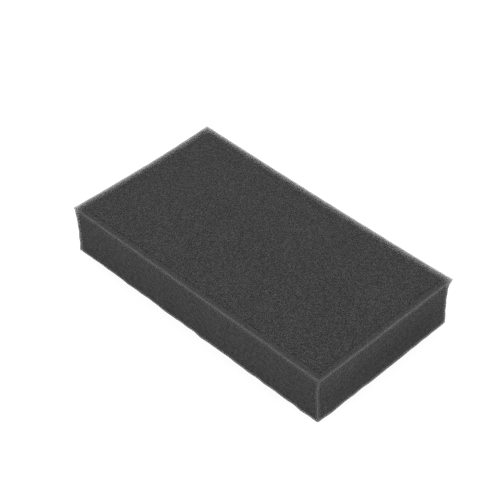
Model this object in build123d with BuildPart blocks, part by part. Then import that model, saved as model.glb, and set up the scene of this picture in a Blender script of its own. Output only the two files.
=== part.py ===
from build123d import *
import os

# Flat foam air filter element for a small engine: one slab of open-cell
# polyurethane foam, die-cut from 1 inch sheet.  It has no frame, cover,
# screen or fastener; it is squeezed into the tray of a filter housing.
#
# Frame: millimetres, +Z up through the thickness, +X along the length,
# +Y along the width, origin in the middle of the underside.

# ---------------------------------------------------------------- dimensions
length = 150.5          # corner to corner along X, at the top face
width = 82.5            # corner to corner along Y, at the top face
thickness = 25.4        # 1 inch sheet

# each edge draws in at its middle, and no two by the same amount
bow_left = 0.95         # short edge on the -X side
bow_right = 0.05        # short edge on the +X side
bow_front = 0.20        # long edge on the -Y side
bow_back = 0.50         # long edge on the +Y side
corner_radius = 0.6     # the die leaves the upright corners barely rounded

# The blade squeezes the foam while it cuts, so when the slab springs back
# its sides are waisted: (height above the underside, inset from the top
# edge).  The top lip flares the most, the bottom edge a little.
side_profile = [
    (0.0, 0.50),
    (2.2, 0.72),
    (6.5, 0.90),
    (12.0, 0.98),
    (17.5, 0.92),
    (21.5, 0.68),
    (24.0, 0.24),
    (thickness, 0.0),
]

os.makedirs("parts", exist_ok=True)

# ------------------------------------------------------- foam_filter_element
with BuildPart() as foam_filter_element:
    for height, inset in side_profile:
        # half sizes of the outline at this height
        hx = length / 2 - inset
        hy = width / 2 - inset
        with BuildSketch(Plane.XY.offset(height)):
            with BuildLine():
                # four edges, each a very flat arc that bows inward
                ThreePointArc((-hx, -hy), (0, -hy + bow_front), (hx, -hy))
                ThreePointArc((hx, -hy), (hx - bow_right, 0), (hx, hy))
                ThreePointArc((hx, hy), (0, hy - bow_back), (-hx, hy))
                ThreePointArc((-hx, hy), (-hx + bow_left, 0), (-hx, -hy))
            make_face()
            fillet(vertices(), radius=corner_radius)
    loft()

foam_filter_element.part.label = "foam_filter_element"
export_step(foam_filter_element.part, "parts/foam_filter_element.step")

box = foam_filter_element.part.bounding_box()
print("size", [round(v, 3) for v in (box.size.X, box.size.Y, box.size.Z)],
      "low", [round(v, 3) for v in (box.min.X, box.min.Y, box.min.Z)],
      "volume cm3", round(foam_filter_element.part.volume / 1000, 2))
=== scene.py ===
"""Looks of a flat foam air filter element: one slab of charcoal open-cell foam, die-cut from 1 inch sheet.

Two meshes stand for the one CAD node.  foam_slab is the body of the foam: every cell that the knife opened is a pit
with a raised rim.  foam_thin_edges is the outermost foam along the twelve cut edges, which is thin enough to see
through.  Work is done in millimetres and written to the meshes in metres.
"""
import math

import bpy
import numpy as np
from mathutils import Matrix, Vector, geometry


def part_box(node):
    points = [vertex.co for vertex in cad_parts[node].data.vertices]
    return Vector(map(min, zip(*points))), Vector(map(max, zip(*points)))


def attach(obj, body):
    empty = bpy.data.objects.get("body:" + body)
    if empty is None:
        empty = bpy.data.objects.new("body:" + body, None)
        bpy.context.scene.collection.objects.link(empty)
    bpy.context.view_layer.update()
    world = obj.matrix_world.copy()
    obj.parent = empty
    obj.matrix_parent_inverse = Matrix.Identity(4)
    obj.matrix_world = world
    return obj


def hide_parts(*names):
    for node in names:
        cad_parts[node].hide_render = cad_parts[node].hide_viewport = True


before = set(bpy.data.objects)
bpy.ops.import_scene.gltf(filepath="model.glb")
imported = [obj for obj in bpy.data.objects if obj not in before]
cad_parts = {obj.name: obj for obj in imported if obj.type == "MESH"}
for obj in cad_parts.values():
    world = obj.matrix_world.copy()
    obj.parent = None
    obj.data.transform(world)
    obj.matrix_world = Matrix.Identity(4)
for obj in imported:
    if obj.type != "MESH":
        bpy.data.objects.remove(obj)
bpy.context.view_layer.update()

NODE = "foam_filter_element"
low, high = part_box(NODE)
A = high[0] * 1000 + 0.02          # half length of the sharp-cornered outline, mm
B = high[1] * 1000 + 0.02          # half width
T = high[2] * 1000                 # thickness
LO = np.array([-A, -B, 0.0])
HI = np.array([A, B, T])

CELL = 0.74                        # spacing of the foam's cells, mm
CELL_BELOW = 1.10                  # and on the face it lies on
rng = np.random.default_rng(20)

# ------------------------------------------------------------------ the slab's true shape
# the same waist, bow and upright corners as the CAD solid, within 0.2 mm
PROFILE = np.array([(0.0, 0.50), (2.2, 0.72), (6.5, 0.90), (12.0, 0.98), (17.5, 0.92), (21.5, 0.68), (24.0, 0.24), (T, 0.0)])
BOW = {(0, -1): 0.95, (0, 1): 0.15, (1, -1): 0.20, (1, 1): 0.65}    # how far each edge draws in at its middle: (axis, side)
SKEW = {(0, -1): 0.06, (0, 1): 0.08, (1, -1): -0.03, (1, 1): 0.11}   # and how far it is out of square at its end
CORNER = 0.6
TUCK = 0.1                          # how much further the long front side draws in at the floor
LEAN = 0.10                         # and how much further the +X end draws in at the top of its middle
# and how far the upright corners are pulled out of place, (x, y) in mm, at these heights
PULL_Z = (0.0, 4.0, 9.0, 12.5, 16.3, 19.9, 22.4, 23.6, T)
PULL = {(1, -1): ((-0.44, 0.17), (-0.76, 0.17), (-0.75, 0.16), (-1.05, 0.02), (-1.12, -0.03), (-0.85, -0.02), (-0.52, -0.03), (-0.26, -0.02), (0.0, 0.0)),
        (-1, -1): ((-0.27, -0.27), (-0.27, -0.27), (-0.20, -0.18), (-0.20, -0.18), (-0.22, -0.22), (-0.25, -0.25), (-0.17, -0.17), (-0.03, -0.03), (0.12, 0.12)),
        (1, 1): ((-0.24, -0.24), (-0.19, -0.19), (-0.10, -0.10), (-0.05, -0.05), (0.0, 0.0), (0.0, 0.0), (0.06, 0.06), (0.14, 0.17), (0.24, 0.42))}
PULL_REACH = 9.0                    # it fades over this distance


def hermite(x, xs, ys):
    """A smooth curve through the points (xs, ys)."""
    m = np.gradient(ys, xs)
    x = np.clip(x, xs[0], xs[-1])
    i = np.clip(np.searchsorted(xs, x) - 1, 0, len(xs) - 2)
    h = xs[i + 1] - xs[i]
    t = (x - xs[i]) / h
    return ((2 * t**3 - 3 * t**2 + 1) * ys[i] + (t**3 - 2 * t**2 + t) * h * m[i]
            + (-2 * t**3 + 3 * t**2) * ys[i + 1] + (t**3 - t**2) * h * m[i + 1])


def waves(p, lengths, seed, n=5):
    """Smooth noise of about unit size: sines of the given wavelengths in mm, in fixed random directions."""
    r = np.random.default_rng(seed)
    out = np.zeros(len(p))
    for wave in lengths:
        for _ in range(n):
            k = r.normal(size=3)
            k *= 2 * math.pi / wave / np.linalg.norm(k)
            out += np.sin(p @ k + r.uniform(0, 2 * math.pi))
    return out / math.sqrt(n * len(lengths) / 2)


def warp(p):
    """Moves points of the sharp box [-A, A] x [-B, B] x [0, T] to the real slab's shape."""
    p = np.array(p, float)
    x, y, z = p[:, 0], p[:, 1], p[:, 2]
    # rounded upright corners
    u, v = np.abs(x) - (A - CORNER), np.abs(y) - (B - CORNER)
    both = (u > 0) & (v > 0)
    uu, vv = np.where(both, u, 1.0), np.where(both, v, 1.0)
    k = np.where(both, np.maximum(uu, vv) / np.hypot(uu, vv), 1.0)
    x = np.where(both, np.sign(x) * (A - CORNER + uu * k), x)
    y = np.where(both, np.sign(y) * (B - CORNER + vv * k), y)
    s = hermite(z, PROFILE[:, 0], PROFILE[:, 1])
    # the knife wandered a little and the foam sprang back unevenly
    side = waves(p, (70.0, 33.0), 3, 4) * 0.06 + waves(p, (11.0, 6.0), 5, 5) * 0.045 * (1 + (0.7 + 0.9 * np.clip(-y / B, 0, 1)**4) * (1 - z / T)**2)
    fx = (A - s - np.where(x > 0, BOW[0, 1], BOW[0, -1]) * (1 - (y / B) ** 2)
          - np.where(x > 0, SKEW[0, 1], SKEW[0, -1]) * y / B - np.where(x > 0, LEAN, 0.0) * (z / T) ** 4 * (1 - (y / B) ** 2) + side) / A
    fy = (B - s - np.where(y > 0, BOW[1, 1], BOW[1, -1]) * (1 - (x / A) ** 2)
          - np.where(y > 0, SKEW[1, 1], SKEW[1, -1]) * x / A - np.where(y > 0, 0.0, TUCK) * (1 - z / T) ** 3 + side) / B
    up = waves(p, (60.0, 25.0), 8, 4) * 0.06 * (z / T)
    x, y = x * fx, y * fy
    for (sx, sy), pull in PULL.items():
        fade = np.exp(-(np.maximum(A - sx * p[:, 0], 0) + np.maximum(B - sy * p[:, 1], 0)) / PULL_REACH)
        x = x + fade * np.interp(z, PULL_Z, [q[0] for q in pull])
        y = y + fade * np.interp(z, PULL_Z, [q[1] for q in pull])
    return np.stack([x, y, z - np.abs(up) * (z > 0.5 * T)], 1)


# how far in from each face the foam is thin enough to see through, at a cut edge
W_SIDE, W_TOP, W_BOTTOM = 3.9, 4.9, 1.8
W_LOW = 2.4                         # W_SIDE below the top edge, where the sides meet each other and the underside
POWER = 1.22


def closeness(p):
    """For points of the box: how near each point is to the side pair, the end pair and the top or bottom, from 0 at the width of the see-through edge to 1 on the face, one column each for X, Y and Z, with the sign of the face."""
    dx, dy = A - np.abs(p[:, 0]), B - np.abs(p[:, 1])
    top = p[:, 2] > T / 2
    dz = np.where(top, T - p[:, 2], p[:, 2])
    wz = np.where(top, W_TOP, W_BOTTOM - 0.3 * np.clip(-p[:, 1] / B, 0, 1))
    rise = np.clip((p[:, 2] - (T - 6.5)) / 4.5, 0, 1)
    low_w = W_LOW + np.where(p[:, 0] > 0, 0.2, 0.5) * np.where(p[:, 0] * p[:, 1] > 0, np.exp(-(dx + dy) / 5.0), 0.0)
    ws = low_w + (W_SIDE - low_w) * rise * rise * (3 - 2 * rise)
    w = np.stack([ws, ws, wz], 1)
    e = np.clip(1 - np.stack([dx, dy, dz], 1) / w, 0, 1)
    sign = np.stack([np.sign(p[:, 0]), np.sign(p[:, 1]), np.where(top, 1.0, -1.0)], 1)
    return e, w, sign


def ease(p, depth):
    """Draws a face point back from the cut edges, to where the foam is dense, and then in by depth."""
    e, w, sign = closeness(p)
    size = (e**POWER).sum(1) ** (1 / POWER)
    new = e / np.maximum(size, 1e-9)[:, None]
    out = p - sign * w * (e - new)
    grad = sign * np.where(e > 1e-6, new, 0.0) ** (POWER - 1) * (e > 1e-6) / w
    grad /= np.linalg.norm(grad, axis=1)[:, None]
    return out - grad * depth[:, None], grad


# ------------------------------------------------------------------ the opened cells
def scatter(u0, u1, v0, v1, step, r):
    """Uneven but never crowded points over a rectangle."""
    rows = max(2, round((v1 - v0) / (step * 0.866)))
    cols = max(2, round((u1 - u0) / step))
    du, dv = (u1 - u0) / cols, (v1 - v0) / rows
    j, i = np.mgrid[0:rows, 0:cols]
    u = u0 + (i + 0.25 + 0.5 * (j % 2)) * du
    v = v0 + (j + 0.5) * dv
    u = u + r.uniform(-1, 1, u.shape) * du * 0.40
    v = v + r.uniform(-1, 1, v.shape) * dv * 0.40
    gap = 0.2 * step
    return np.stack([np.clip(u, u0 + gap, u1 - gap).ravel(), np.clip(v, v0 + gap, v1 - gap).ravel()], 1)


def cells_of(u0, u1, v0, v1, step, r):
    """Voronoi cells of scattered points over a rectangle, with the rectangle's border as cell walls.
    Returns the points, the wall corners, and the pairs (cell, wall corner) in order round each cell."""
    site = scatter(u0, u1, v0, v1, step, r)
    n = len(site)
    reach = 3.2 * step
    parts = [site]
    for sel, flip in ((site[:, 0] < u0 + reach, (0, u0)), (site[:, 0] > u1 - reach, (0, u1)),
                      (site[:, 1] < v0 + reach, (1, v0)), (site[:, 1] > v1 - reach, (1, v1))):
        q = site[sel].copy()
        q[:, flip[0]] = 2 * flip[1] - q[:, flip[0]]
        parts.append(q)
    for uu in (u0, u1):
        for vv in (v0, v1):
            q = site[(abs(site[:, 0] - uu) < reach) & (abs(site[:, 1] - vv) < reach)]
            parts.append(2 * np.array([uu, vv]) - q)
    pts = np.concatenate(parts)
    verts, _, tris, orig, _, _ = geometry.delaunay_2d_cdt([Vector(map(float, q)) for q in pts], [], [], 0, 1e-7, True)
    back = np.array([o[0] for o in orig])
    tri = back[np.array([tuple(t) for t in tris if len(t) == 3])]
    a, b, c = pts[tri[:, 0]], pts[tri[:, 1]], pts[tri[:, 2]]
    ab, ac = b - a, c - a
    d = 2 * (ab[:, 0] * ac[:, 1] - ab[:, 1] * ac[:, 0])
    l1, l2 = (ab**2).sum(1), (ac**2).sum(1)
    centre = a + np.stack([ac[:, 1] * l1 - ab[:, 1] * l2, ab[:, 0] * l2 - ac[:, 0] * l1], 1) / d[:, None]
    for k, edge in ((0, u0), (0, u1), (1, v0), (1, v1)):
        near = np.abs(centre[:, k] - edge) < 2e-4
        centre[near, k] = edge
    cell, corner = tri.ravel(), np.repeat(np.arange(len(tri)), 3)
    keep = cell < n
    cell, corner = cell[keep], corner[keep]
    rel = centre[corner] - site[cell]
    order = np.lexsort((np.arctan2(rel[:, 1], rel[:, 0]), cell))
    return site, centre, cell[order], corner[order]


FACES = [(n, s) for n in (2, 1, 0) for s in (-1, 1)]
faces, edge_points = [], {}
for n, s in FACES:
    ua, va = [k for k in range(3) if k != n]
    site, centre, cell, corner = cells_of(LO[ua], HI[ua], LO[va], HI[va], CELL_BELOW if (n, s) == (2, -1) else CELL, rng)
    used = np.unique(corner)
    at = {}
    for k, c in zip(used, centre[used]):
        walls = [(ax, -1 if c[m] == LO[ax] else 1) for m, ax in ((0, ua), (1, va)) if c[m] == LO[ax] or c[m] == HI[ax]]
        if len(walls) == 1:
            along, m = (va, 1) if walls[0][0] == ua else (ua, 0)
            key = (along, *sorted([(n, s), walls[0]]))
            edge_points.setdefault(key, []).append((float(c[m]), len(faces), int(k)))
            at[int(k)] = key
        elif len(walls) == 2:
            at[int(k)] = "corner"
    faces.append(dict(n=n, s=s, ua=ua, va=va, site=site, centre=centre, cell=cell, corner=corner, at=at))

points, count = [], 0               # the surface's points on the sharp box
corner_id, edge_line, edge_id = {}, {}, {}
for sx in (-1, 1):
    for sy in (-1, 1):
        for sz in (-1, 1):
            corner_id[sx, sy, sz] = count
            points.append([[LO, HI][(q + 1) // 2][k] for k, q in enumerate((sx, sy, sz))])
            count += 1
for key in sorted(edge_points):
    along, (n1, s1), (n2, s2) = key
    fixed = {n1: s1, n2: s2}
    ends = [corner_id[tuple(fixed.get(k, q) for k in range(3))] for q in (-1, 1)]
    line = [(float(LO[along]), ends[0])]
    for t, f, k in sorted(edge_points[key]):
        if t - line[-1][0] < 0.04:
            edge_id[f, k] = line[-1][1]
            continue
        if HI[along] - t < 0.04:
            edge_id[f, k] = ends[1]
            continue
        p = [0.0] * 3
        p[along], p[n1], p[n2] = t, [LO, HI][(s1 + 1) // 2][n1], [LO, HI][(s2 + 1) // 2][n2]
        line.append((t, count))
        edge_id[f, k] = count
        points.append(p)
        count += 1
    line.append((float(HI[along]), ends[1]))
    edge_line[key] = [i for _, i in line]
place = {}                          # edge point -> its position along each cut edge it is on
for key, ids in edge_line.items():
    for pos, i in enumerate(ids):
        place.setdefault(i, {})[key] = pos

triangles, is_pit, blocks = [], [], [np.array(points)]
pit_flag = [np.zeros(count, bool)]
for f, d in enumerate(faces):
    n, s, ua, va = d["n"], d["s"], d["ua"], d["va"]
    level = (HI if s > 0 else LO)[n]
    inner = [k for k in np.unique(d["corner"]) if int(k) not in d["at"]]
    gid = np.full(len(d["centre"]), -1)
    gid[inner] = count + np.arange(len(inner))
    for k, kind in d["at"].items():
        if kind == "corner":
            c = d["centre"][k]
            q = [0] * 3
            q[n], q[ua], q[va] = s, (-1 if c[0] == LO[ua] else 1), (-1 if c[1] == LO[va] else 1)
            gid[k] = corner_id[tuple(q)]
        else:
            gid[k] = edge_id[f, k]
    block = np.zeros((len(inner) + len(d["site"]), 3))
    block[:, n] = level
    block[:len(inner), ua], block[:len(inner), va] = d["centre"][inner].T
    block[len(inner):, ua], block[len(inner):, va] = d["site"].T
    blocks.append(block)
    pit_flag.append(np.r_[np.zeros(len(inner), bool), np.ones(len(d["site"]), bool)])
    first_pit = count + len(inner)
    count += len(block)
    # fans: cell middle, and each pair of neighbouring wall corners
    cell, ids = d["cell"], gid[d["corner"]]
    start = np.r_[0, np.flatnonzero(np.diff(cell)) + 1, len(cell)]
    nxt = np.arange(len(cell)) + 1
    nxt[start[1:] - 1] = start[:-1]
    a, b = ids, ids[nxt]
    outward = (s > 0) == (n != 1)
    border = np.isin(a, list(place)) & np.isin(b, list(place))
    plain = ~border & (a != b)
    t = np.stack([first_pit + cell[plain], a[plain], b[plain]], 1)
    triangles.append(t if outward else t[:, ::-1])
    for c, i, j in zip(cell[border], a[border], b[border]):
        if i == j:
            continue
        shared = [k for k in place[i] if k in place[j] and (n, s) in k[1:]]
        run = [i, j]
        if shared:
            line, pi, pj = edge_line[shared[0]], place[i][shared[0]], place[j][shared[0]]
            run = line[pi:pj + 1] if pi < pj else line[pj:pi + 1][::-1]
        for g, h in zip(run[:-1], run[1:]):
            t = [first_pit + c, g, h]
            triangles.append(np.array([t if outward else t[::-1]]))
nominal = np.concatenate(blocks)
pits = np.concatenate(pit_flag)
tri = np.concatenate(triangles)

# depth of each pit: some cells were cut open wide and deep, some only skimmed
area = np.zeros(len(nominal))
cross = np.cross(nominal[tri[:, 1]] - nominal[tri[:, 0]], nominal[tri[:, 2]] - nominal[tri[:, 0]])
middle = np.where(pits[tri[:, 0]], tri[:, 0], tri[:, 2])
np.add.at(area, middle, np.linalg.norm(cross, axis=1) / 2)
on_side = (A - np.abs(nominal[:, 0]) < 1e-6) | (B - np.abs(nominal[:, 1]) < 1e-6)
cut = rng.beta(1.6, 1.6, len(nominal))                     # 0 skimmed, 1 wide open
cut *= np.where(on_side, 0.50, 1.0)                        # the knife smeared the cells of the sides a little
e, _, _ = closeness(nominal)
edge_near = np.sort(e, axis=1)[:, 1]                       # 0 on the open face, 1 on a cut edge
depth = np.where(pits, np.sqrt(area) * (0.20 + 0.46 * cut), rng.uniform(-0.02, 0.08, len(nominal)))
depth += np.clip(edge_near * 1.7 - 0.3, 0.0, 1.0) * rng.uniform(0, 0.6, len(nominal))    # ragged where the foam thins out
body_mm, _ = ease(nominal, depth)
body_mm = warp(body_mm)
body_mm[:, 2] = np.maximum(body_mm[:, 2], 0.0)
opening = np.where(pits, cut, 0.0)
# painted shade and light on the sides: they are drawn palest at the top edge and darker towards the underside, and the
# +X end is also drawn lighter at its far corners and darker in the middle, as the light falls; a random tone is laid
# over them
up = nominal[:, 2] / T
long_side_painted_shade = 0.778 + 0.170 * up
end_side_painted_light_and_shade = ((0.848 + 0.220 * up) * np.interp(up, (0.0, 0.14, 0.22, 0.30, 0.38, 0.46, 0.54, 0.66, 0.78, 0.94, 1.0), (1.0, 0.96, 0.888, 0.855, 0.82, 0.848, 0.90, 0.95, 1.01, 1.06, 1.08))
            * np.interp(nominal[:, 1] / B, (-1.0, -0.72, -0.5, -0.3, -0.1, 0.1, 0.3, 0.52, 0.72, 0.88, 1.0), (1.035, 0.99, 0.953, 0.930, 0.905, 0.890, 0.868, 0.862, 0.925, 1.0, 1.05)))
side_painted_shade_and_tone = np.where(nominal[:, 0] > A - 1e-6, end_side_painted_light_and_shade, long_side_painted_shade) * (1 + 0.085 * waves(nominal, (2.0, 2.6, 3.4), 12, 12))
# the top face keeps its colour and the underside is drawn at 0.86 of it
painted_light_and_tone = np.where(on_side, side_painted_shade_and_tone, np.where(nominal[:, 2] > T / 2, 1.0, 0.86))
speck = np.where(on_side, rng.gamma(110, 1 / 110, len(nominal)), rng.gamma(19, 1 / 19, len(nominal)))    # ends of threads catch the light
painted_light_and_tone = painted_light_and_tone * np.where(pits, 1.0, speck)


def make_mesh(name, verts_mm, tris, attributes):
    me = bpy.data.meshes.new(name)
    me.vertices.add(len(verts_mm))
    me.vertices.foreach_set("co", (verts_mm * 0.001).astype(np.float32).ravel())
    me.loops.add(len(tris) * 3)
    me.loops.foreach_set("vertex_index", tris.astype(np.int32).ravel())
    me.polygons.add(len(tris))
    me.polygons.foreach_set("loop_start", np.arange(0, len(tris) * 3, 3, dtype=np.int32))
    me.polygons.foreach_set("loop_total", np.full(len(tris), 3, dtype=np.int32))
    for key, values in attributes.items():
        me.attributes.new(key, "FLOAT", "POINT").data.foreach_set("value", values.astype(np.float32))
    me.update(calc_edges=True)
    me.validate()
    ob = bpy.data.objects.new(name, me)
    bpy.context.collection.objects.link(ob)
    return ob


slab = make_mesh("foam_slab", body_mm, tri, {"foam_open": opening, "foam_edge": edge_near, "foam_painted_light_and_tone": painted_light_and_tone})

print("slab", len(nominal), "points", len(tri), "triangles")

# ------------------------------------------------------------------ the thin foam along the cut edges
# Threads of foam too fine to model one by one, as a nest of closed skins between the slab's true outline and its dense
# core.  Each lets most of the light through.  Away from the edges they run inside the core.
LAYERS = 10
BAND = (0.0, 0.4, 0.9, 1.5, 2.2, 3.0, 4.0, 5.3)    # grid lines near an edge, mm from it
ALONG = 1.65                                         # and their spacing along it
size = HI - LO


def frame_grid(n, sn):
    """Quads over the border of one face of the box, and the loop round what is left of its middle, as points in mm."""
    ua, va = [k for k in range(3) if k != n]
    lines = []
    for k in (ua, va):
        near = np.array(BAND)
        m = max(2, round((size[k] - 2 * near[-1]) / ALONG))
        middle = np.linspace(LO[k] + near[-1], HI[k] - near[-1], m + 1)
        lines.append(np.r_[LO[k] + near[:-1], middle, HI[k] - near[:-1][::-1]])
    nu, nv, b = len(lines[0]), len(lines[1]), len(BAND) - 1
    quads = [(i, j) for i in range(nu - 1) for j in range(nv - 1) if i < b or i >= nu - 1 - b or j < b or j >= nv - 1 - b]

    def at(i, j):
        q = [0.0] * 3
        q[n], q[ua], q[va] = (HI if sn > 0 else LO)[n], lines[0][i], lines[1][j]
        return tuple(round(c, 6) for c in q)

    outward = (sn > 0) == (n != 1)
    polys = [[at(i, j), at(i + 1, j), at(i + 1, j + 1), at(i, j + 1)] for i, j in quads]
    loop = ([at(i, b) for i in range(b, nu - 1 - b)] + [at(nu - 1 - b, j) for j in range(b, nv - 1 - b)]
            + [at(i, nv - 1 - b) for i in range(nu - 1 - b, b, -1)] + [at(b, j) for j in range(nv - 1 - b, b, -1)])
    polys.append(loop)
    return polys if outward else [p[::-1] for p in polys]


index, layer_polys = {}, []
for n, sn in FACES:
    for poly in frame_grid(n, sn):
        layer_polys.append([index.setdefault(q, len(index)) for q in poly])
flat = np.array(sorted(index, key=index.get))
flat_core, flat_out = ease(flat, np.zeros(len(flat)))
fe = np.sort(closeness(flat)[0], axis=1)[:, 1]
dive = np.clip(1 - fe / 0.30, 0, 1) ** 1.5 * 1.3
# painted light: on the skins the sides are drawn paler than the top and underside, the +X end most, less so along the
# top edges and at the upright corners
wall_painted_light = np.maximum((A - np.abs(flat[:, 0]) < 1e-6) * np.where(flat[:, 0] > 0, 1.20, 1.12), (B - np.abs(flat[:, 1]) < 1e-6) * 1.12)
upright = (A - np.abs(flat[:, 0]) < 1e-6) & (B - np.abs(flat[:, 1]) < 1e-6)
painted_light_and_tone = np.where(wall_painted_light > 0, np.where(T - flat[:, 2] < 1e-6, np.where(wall_painted_light > 1.15, 1.17, 1.03), np.where(upright, 1.0, wall_painted_light)), 0.93)
layer_verts, layer_faces, layer_edge = [], [], []
for k in range(LAYERS):
    share = ((k + 0.5) / LAYERS) ** 1.4
    ripple = rng.uniform(-0.01, 0.01, len(flat)) * (4 + k) * np.minimum(2 * fe, 1)
    v = flat + share * (flat_core - flat) - flat_out * (dive + ripple + 0.04 * k * (fe < 0.3))[:, None]
    v = warp(v)
    v[:, 2] = np.clip(v[:, 2], 0.0, T)
    layer_faces += [[c + k * len(flat) for c in poly] for poly in layer_polys]
    layer_verts.append(v)
    layer_edge.append(fe)
lm = bpy.data.meshes.new("foam_thin_edges")
lm.from_pydata((np.concatenate(layer_verts) * 0.001).tolist(), [], layer_faces)
lm.attributes.new("foam_edge", "FLOAT", "POINT").data.foreach_set("value", np.concatenate(layer_edge).astype(np.float32))
lm.attributes.new("foam_painted_light_and_tone", "FLOAT", "POINT").data.foreach_set("value", np.tile(painted_light_and_tone, LAYERS).astype(np.float32))
grain_of = np.where(flat[:, 2] > T - 1e-6, 1.0, 0.2)      # the knife smeared the sides smoother than the top
lm.attributes.new("foam_grain", "FLOAT", "POINT").data.foreach_set("value", np.tile(grain_of, LAYERS).astype(np.float32))
for poly in lm.polygons:
    poly.use_smooth = True
lm.update()
layers = bpy.data.objects.new("foam_thin_edges", lm)
bpy.context.collection.objects.link(layers)
print("layers", len(lm.vertices), "points", len(lm.polygons), "faces")


# ------------------------------------------------------------------ materials
def node(nt, kind, **inputs):
    n = nt.nodes.new(kind)
    for key, value in inputs.items():
        n.inputs[key].default_value = value
    return n


def math_node(nt, op, a, b=None, c=None, clamp=False):
    n = nt.nodes.new("ShaderNodeMath")
    n.operation, n.use_clamp = op, clamp
    for k, v in enumerate((a, b, c)):
        if v is None:
            continue
        if isinstance(v, (int, float)):
            n.inputs[k].default_value = v
        else:
            nt.links.new(v, n.inputs[k])
    return n.outputs[0]


def mix_colour(nt, factor, a, b):
    n = nt.nodes.new("ShaderNodeMix")
    n.data_type = "RGBA"
    for sock, v in ((n.inputs[0], factor), (n.inputs[6], a), (n.inputs[7], b)):
        if isinstance(v, (int, float, tuple)):
            sock.default_value = v
        else:
            nt.links.new(v, sock)
    return n.outputs[2]


def attribute(nt, name):
    n = nt.nodes.new("ShaderNodeAttribute")
    n.attribute_type, n.attribute_name = "GEOMETRY", name
    return n.outputs["Fac"]


def grey(v):
    return (v, v, v, 1.0)


def new_material(name):
    m = bpy.data.materials.new(name)
    m.use_nodes = True
    nt = m.node_tree
    nt.nodes.clear()
    out = nt.nodes.new("ShaderNodeOutputMaterial")
    bsdf = nt.nodes.new("ShaderNodeBsdfPrincipled")
    nt.links.new(bsdf.outputs[0], out.inputs["Surface"])
    return m, nt, bsdf


def foam_material():
    m, nt, bsdf = new_material("foam_cells")
    co = nt.nodes.new("ShaderNodeTexCoord").outputs["Object"]
    opened, edge = attribute(nt, "foam_open"), attribute(nt, "foam_edge")
    # cell walls are the paler skeleton; the dark colour inside an opened cell is painted shade of its hollow
    pit_painted_shade = math_node(nt, "POWER", opened, 0.8)
    colour = mix_colour(nt, pit_painted_shade, grey(0.0468), grey(0.0072))
    # the next layer of cells, seen inside the opened ones
    inner = node(nt, "ShaderNodeTexVoronoi", Scale=2600.0)
    inner.feature = "DISTANCE_TO_EDGE"
    nt.links.new(co, inner.inputs["Vector"])
    web = math_node(nt, "MULTIPLY_ADD", inner.outputs["Distance"], -3.2, 1.0, clamp=True)
    web = math_node(nt, "MULTIPLY", web, math_node(nt, "MULTIPLY", opened, 0.55))
    colour = mix_colour(nt, web, colour, grey(0.035))
    # faint clouds in the dye
    cloud = node(nt, "ShaderNodeTexNoise", Scale=55.0, Detail=3.0, Roughness=0.55)
    nt.links.new(co, cloud.inputs["Vector"])
    fine = node(nt, "ShaderNodeTexNoise", Scale=1700.0, Detail=2.0, Roughness=0.6)
    nt.links.new(co, fine.inputs["Vector"])
    lift = math_node(nt, "MULTIPLY_ADD", cloud.outputs["Fac"], 0.22, 0.89)
    lift = math_node(nt, "MULTIPLY", lift, math_node(nt, "MULTIPLY_ADD", fine.outputs["Fac"], 1.2, 0.40))
    # painted light and shade of the sides, with a random tone, from the slab's attribute
    lift = math_node(nt, "MULTIPLY", lift, attribute(nt, "foam_painted_light_and_tone"))
    scale = nt.nodes.new("ShaderNodeVectorMath")
    scale.operation = "SCALE"
    nt.links.new(colour, scale.inputs[0])
    nt.links.new(lift, scale.inputs["Scale"])
    # painted highlight: the cut edges are drawn paler, where light reaches the thin foam from both faces
    edge_painted_highlight = math_node(nt, "POWER", edge, 1.2)
    colour = mix_colour(nt, math_node(nt, "MULTIPLY", edge_painted_highlight, 0.85), scale.outputs[0], grey(0.135))
    nt.links.new(colour, bsdf.inputs["Base Color"])
    rough = math_node(nt, "MULTIPLY_ADD", fine.outputs["Fac"], 0.2, 0.78)
    nt.links.new(rough, bsdf.inputs["Roughness"])
    bsdf.inputs["Specular IOR Level"].default_value = 0.25
    bump = node(nt, "ShaderNodeBump", Strength=0.5, Distance=0.00008)
    nt.links.new(math_node(nt, "ADD", fine.outputs["Fac"], web), bump.inputs["Height"])
    nt.links.new(bump.outputs[0], bsdf.inputs["Normal"])
    return m


def layer_material():
    m, nt, bsdf = new_material("foam_thin")
    co = nt.nodes.new("ShaderNodeTexCoord").outputs["Object"]
    edge = attribute(nt, "foam_edge")
    grain = node(nt, "ShaderNodeTexNoise", Scale=1600.0, Detail=2.0, Roughness=0.6)
    nt.links.new(co, grain.inputs["Vector"])
    # painted highlight: the skins are drawn paler right at the cut edges
    base = math_node(nt, "MULTIPLY_ADD", math_node(nt, "POWER", edge, 5.0), THIN_EDGE_HIGHLIGHT, THIN_BASE)
    uneven = math_node(nt, "MULTIPLY_ADD", grain.outputs["Fac"], 1.9, -0.95)
    total = math_node(nt, "MULTIPLY", base, math_node(nt, "MULTIPLY_ADD", uneven, attribute(nt, "foam_grain"), 1.0))
    # painted light: away from the cut edge the skins are drawn up to a quarter paler, to lift the shade the nested
    # skins cast on each other
    inner = math_node(nt, "POWER", math_node(nt, "SUBTRACT", 1.0, edge), 2.0)
    total = math_node(nt, "MULTIPLY", total, math_node(nt, "MULTIPLY_ADD", inner, 0.25, 1.0))
    # painted light of the sides, from the skins' attribute
    total = math_node(nt, "MAXIMUM", math_node(nt, "MULTIPLY", total, attribute(nt, "foam_painted_light_and_tone")), 0.002)
    comb = nt.nodes.new("ShaderNodeCombineColor")
    for k in range(3):
        nt.links.new(total, comb.inputs[k])
    nt.links.new(comb.outputs[0], bsdf.inputs["Base Color"])
    bsdf.inputs["Roughness"].default_value = 0.95
    bsdf.inputs["Specular IOR Level"].default_value = 0.0
    bsdf.inputs["Alpha"].default_value = 0.20
    return m


# the second value is painted highlight added at the cut edges
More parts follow.
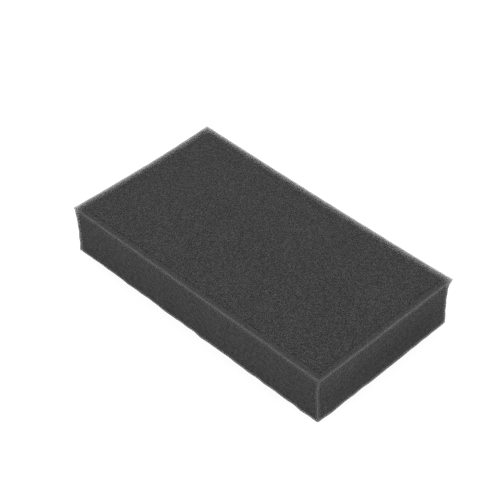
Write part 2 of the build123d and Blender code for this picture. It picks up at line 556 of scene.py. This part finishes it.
THIN_BASE, THIN_EDGE_HIGHLIGHT = 0.082, 0.095
layers.data.materials.append(layer_material())
slab.data.materials.append(foam_material())
for piece in (slab, layers):
    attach(piece, "root")
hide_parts(NODE)

# ------------------------------------------------------------------ stage, light, camera
scene = bpy.context.scene
scene.view_settings.view_transform = "Standard"
scene.view_settings.look = "None"

fm = bpy.data.meshes.new("floor")
r = 4.0
fm.from_pydata([(-r, -r, -0.00002), (r, -r, -0.00002), (r, r, -0.00002), (-r, r, -0.00002)], [], [(0, 1, 2, 3)])
floor = bpy.data.objects.new("floor", fm)
bpy.context.collection.objects.link(floor)
mat, nt, bsdf = new_material("floor_white")
bsdf.inputs["Base Color"].default_value = (0.36, 0.36, 0.36, 1)
bsdf.inputs["Roughness"].default_value = 0.9
bsdf.inputs["Specular IOR Level"].default_value = 0.1
bsdf.inputs["Emission Color"].default_value = (1, 1, 1, 1)
bsdf.inputs["Emission Strength"].default_value = 0.72
fm.materials.append(mat)

world = bpy.data.worlds.new("studio")
scene.world = world
world.use_nodes = True
wt = world.node_tree
back = wt.nodes["Background"]
back.inputs["Color"].default_value = (1, 1, 1, 1)
# a tent of soft light, brighter overhead than at the horizon
split = wt.nodes.new("ShaderNodeSeparateXYZ")
wt.links.new(wt.nodes.new("ShaderNodeTexCoord").outputs["Generated"], split.inputs[0])
wt.links.new(math_node(wt, "MULTIPLY_ADD", math_node(wt, "MAXIMUM", split.outputs["Z"], 0.0), 0.45, 1.0), back.inputs["Strength"])
scene.cycles.use_denoising = False      # the foam's grain is finer than a denoiser keeps
scene.cycles.filter_width = 1.0
scene.cycles.transparent_max_bounces = 48

cam = bpy.data.cameras.new("camera")
cam.sensor_width = 36.0
cam.lens = 109.797
cam.clip_start, cam.clip_end = 0.01, 50
camera = bpy.data.objects.new("camera", cam)
bpy.context.collection.objects.link(camera)
place_cam = Matrix(((0.7059082, -0.4738214, 0.5264852, 0.347430),
                    (0.7082052, 0.4845314, -0.5134929, -0.343799),
                    (-0.0117946, 0.7353382, 0.6775974, 0.471311),
                    (0, 0, 0, 1)))
camera.matrix_world = place_cam
scene.camera = camera

bpy.context.view_layer.update()
